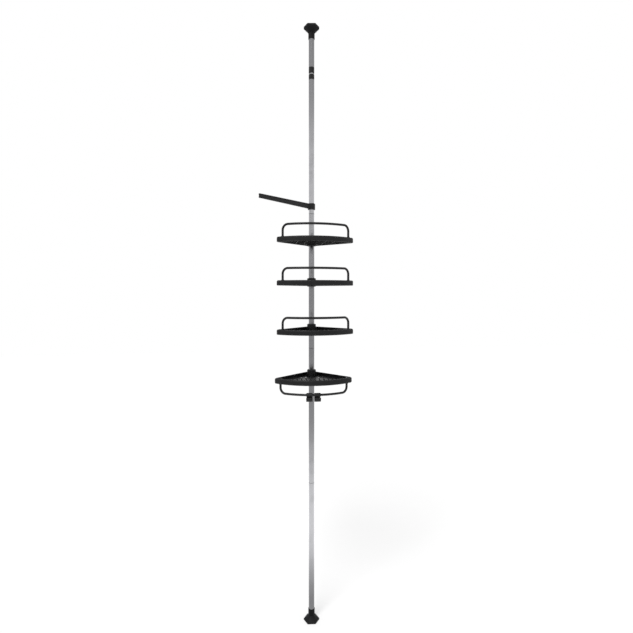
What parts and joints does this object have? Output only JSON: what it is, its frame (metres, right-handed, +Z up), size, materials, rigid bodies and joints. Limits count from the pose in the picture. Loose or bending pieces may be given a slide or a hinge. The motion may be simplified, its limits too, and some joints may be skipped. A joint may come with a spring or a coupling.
{
  "type": "tension pole shelf unit",
  "caption": "Floor-to-ceiling spring tension pole carrying quarter-round corner trays with guard rails, a swinging towel arm and sliding hooks.",
  "frame": {"origin": "centre of the floor pad's underside, on the pole's axis", "axes": "+Z up along the pole, -Y towards the trays' round front, +X to the right seen from the front"},
  "size_m": [0.3978, 0.2318, 2.65],
  "materials": {
    "polished_steel": "polished stainless steel",
    "inner_steel": "bright polished steel",
    "spring_steel": "plain spring and screw steel",
    "black_plastic": "satin black moulded plastic",
    "grey_plastic": "dark grey moulded plastic",
    "black_paint": "satin black coated steel",
    "rubber": "soft black rubber"
  },
  "bodies": {
    "pole": {"floor_pad": "rubber", "floor_foot": "black_plastic", "pole_tube_1": "polished_steel", "pole_tube_2": "polished_steel", "pole_tube_3": "polished_steel", "pole_tube_4": "polished_steel", "pole_plug_1": "grey_plastic", "pole_plug_2": "grey_plastic", "pole_plug_3": "grey_plastic", "lock_collet": "grey_plastic"},
    "lock_nut": {"lock_nut": "black_plastic"},
    "mast": {"inner_tube": "inner_steel", "inner_guide": "grey_plastic", "upper_collar": "black_plastic", "upper_tube": "polished_steel", "plunger_bush": "grey_plastic", "tension_spring": "spring_steel"},
    "head": {"spring_plunger": "grey_plastic", "ceiling_bell": "black_plastic", "ceiling_pad": "rubber"},
    "grip_1": {"grip_1_left": "grey_plastic", "grip_1_right": "grey_plastic"},
    "shelf_1": {"tray_1": "black_plastic", "rail_1": "black_paint", "rail_screw_1_left": "spring_steel", "rail_screw_1_right": "spring_steel"},
    "grip_2": {"grip_2_left": "grey_plastic", "grip_2_right": "grey_plastic"},
    "shelf_2": {"tray_2": "black_plastic", "rail_2": "black_paint", "rail_screw_2_left": "spring_steel", "rail_screw_2_right": "spring_steel"},
    "grip_3": {"grip_3_left": "grey_plastic", "grip_3_right": "grey_plastic"},
    "shelf_3": {"tray_3": "black_plastic", "rail_3": "black_paint", "rail_screw_3_left": "spring_steel", "rail_screw_3_right": "spring_steel"},
    "grip_4": {"grip_4_left": "grey_plastic", "grip_4_right": "grey_plastic"},
    "shelf_4": {"tray_4": "black_plastic", "rail_4": "black_paint", "rail_screw_4_left": "spring_steel", "rail_screw_4_right": "spring_steel"},
    "arm_grip": {"arm_grip_left": "grey_plastic", "arm_grip_right": "grey_plastic"},
    "towel_arm": {"towel_arm_hub": "black_plastic", "towel_arm_bar": "black_plastic", "towel_arm_cap": "black_plastic"},
    "hook_left": {"hook_left": "black_plastic"},
    "hook_right": {"hook_right": "black_plastic"}
  },
  "joints": [
    {"name": "lock_turn", "type": "hinge", "parent": "pole", "child": "lock_nut", "pos_m": [0, 0, 2.41229], "axis": [0, 0, 1], "range_deg": [0, 90]},
    {"name": "height_slide", "type": "slide", "parent": "pole", "child": "mast", "axis": [0, 0, 1], "range_m": [-0.006, 0.3]},
    {"name": "pad_press", "type": "slide", "parent": "mast", "child": "head", "axis": [0, 0, 1], "range_m": [-0.014, 0], "stiffness_N_per_m": 5000, "springref_m": 0.01, "deforming": ["tension_spring"]},
    {"name": "shelf_1_height", "type": "slide", "parent": "pole", "child": "grip_1", "axis": [0, 0, 1], "range_m": [-0.04, 0.04]},
    {"name": "shelf_1_swivel", "type": "hinge", "parent": "grip_1", "child": "shelf_1", "pos_m": [0, 0, 1.67162], "axis": [0, 0, 1], "continuous": true},
    {"name": "shelf_2_height", "type": "slide", "parent": "pole", "child": "grip_2", "axis": [0, 0, 1], "range_m": [-0.04, 0.04]},
    {"name": "shelf_2_swivel", "type": "hinge", "parent": "grip_2", "child": "shelf_2", "pos_m": [0, 0, 1.49089], "axis": [0, 0, 1], "continuous": true},
    {"name": "shelf_3_height", "type": "slide", "parent": "pole", "child": "grip_3", "axis": [0, 0, 1], "range_m": [-0.04, 0.04]},
    {"name": "shelf_3_swivel", "type": "hinge", "parent": "grip_3", "child": "shelf_3", "pos_m": [0, 0, 1.28658], "axis": [0, 0, 1], "continuous": true},
    {"name": "shelf_4_height", "type": "slide", "parent": "pole", "child": "grip_4", "axis": [0, 0, 1], "range_m": [-0.04, 0.04]},
    {"name": "shelf_4_swivel", "type": "hinge", "parent": "grip_4", "child": "shelf_4", "pos_m": [0, 0, 1.08306], "axis": [0, 0, 1], "continuous": true},
    {"name": "arm_height", "type": "slide", "parent": "pole", "child": "arm_grip", "axis": [0, 0, 1], "range_m": [-0.04, 0.04]},
    {"name": "arm_swing", "type": "hinge", "parent": "arm_grip", "child": "towel_arm", "pos_m": [0, 0, 1.83353], "axis": [0, 0, 1], "continuous": true},
    {"name": "hook_left_glide", "type": "hinge", "parent": "shelf_4", "child": "hook_left", "pos_m": [0.00259, 0.04235, 1.04556], "axis": [0, 0, 1], "range_deg": [-18, 0.9]},
    {"name": "hook_right_glide", "type": "hinge", "parent": "shelf_4", "child": "hook_right", "pos_m": [0.00259, 0.04235, 1.04556], "axis": [0, 0, 1], "range_deg": [-0.9, 24]}
  ]
}
